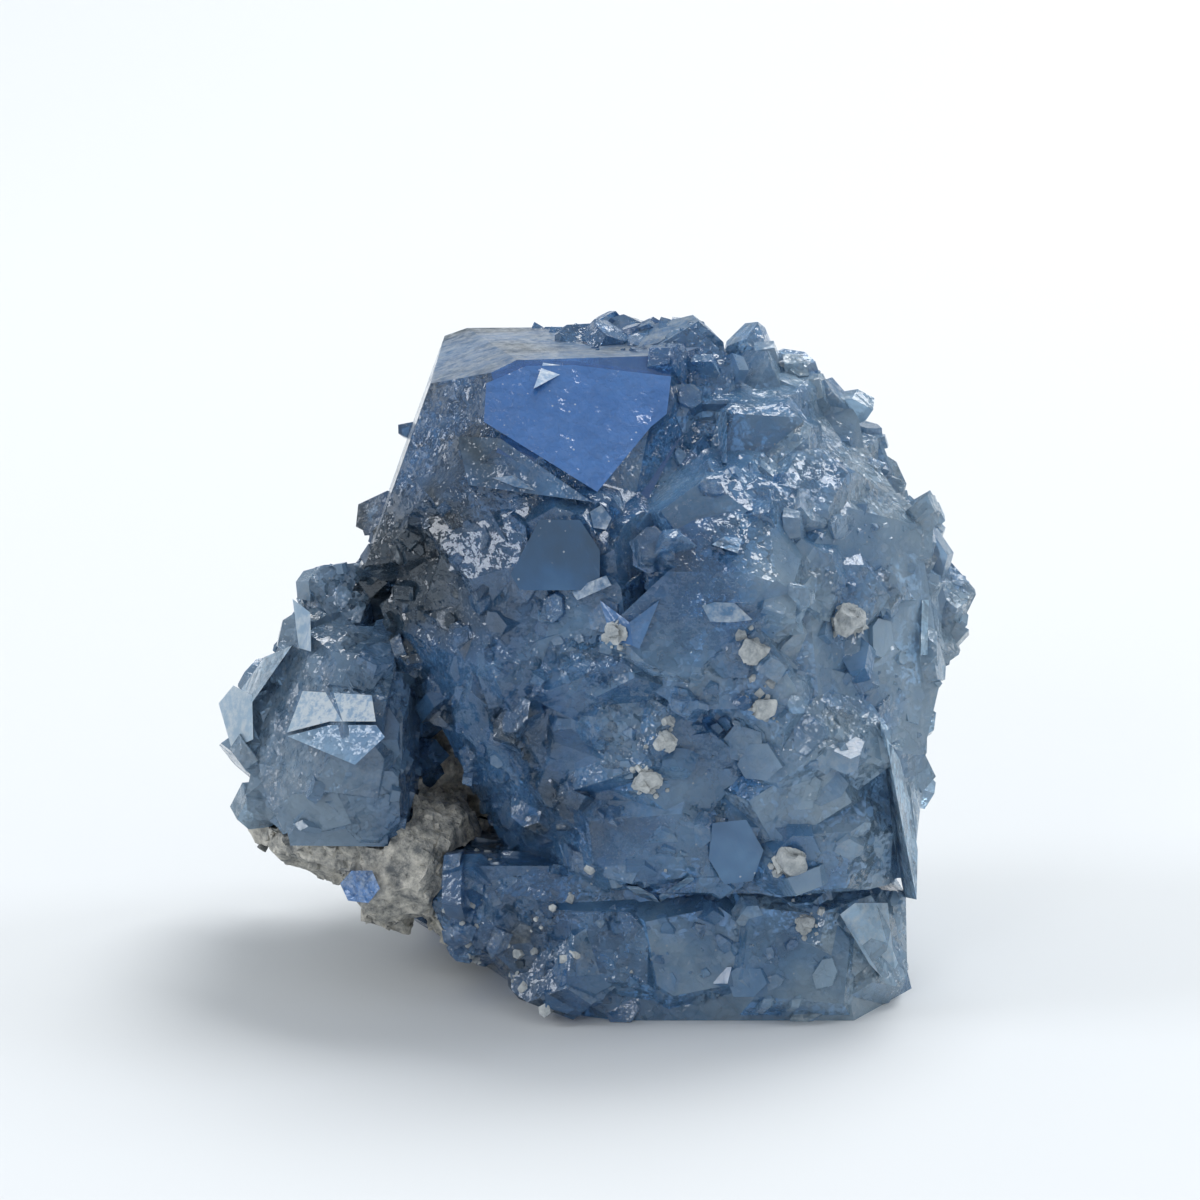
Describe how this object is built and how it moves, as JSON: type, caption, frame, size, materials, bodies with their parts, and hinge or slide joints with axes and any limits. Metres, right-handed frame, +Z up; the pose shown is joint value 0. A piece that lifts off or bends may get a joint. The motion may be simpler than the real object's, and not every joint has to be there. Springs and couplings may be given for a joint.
{
  "type": "celestite geode specimen",
  "caption": "Chunk of blue celestite crystals grown together in a large block and a smaller side cluster, on rough grey-cream rock, with a flat spot to stand on.",
  "frame": {"origin": "middle of the bounding box at the level of the flat spot underneath", "axes": "+X to the right of the specimen, +Y away from its front, +Z up"},
  "size_m": [0.0904, 0.0638, 0.0782],
  "materials": {
    "celestite": "deep blue-grey see-through crystal, glossy on its flat faces and hazy where broken",
    "pale_celestite": "paler blue-grey see-through crystal, glossy on its flat faces",
    "limestone": "matt, granular, grey to cream",
    "limestone_crumb": "matt, sugary, cream"
  },
  "bodies": {
    "root": {"main_crystals": "celestite", "side_crystals": "pale_celestite", "matrix": "limestone", "matrix_crumb_1": "limestone_crumb", "matrix_crumb_2": "limestone_crumb", "matrix_crumb_3": "limestone_crumb", "matrix_crumb_4": "limestone_crumb", "matrix_crumb_5": "limestone_crumb", "matrix_crumb_6": "limestone_crumb", "matrix_crumb_7": "limestone_crumb", "matrix_crumb_8": "limestone_crumb"}
  },
  "joints": []
}
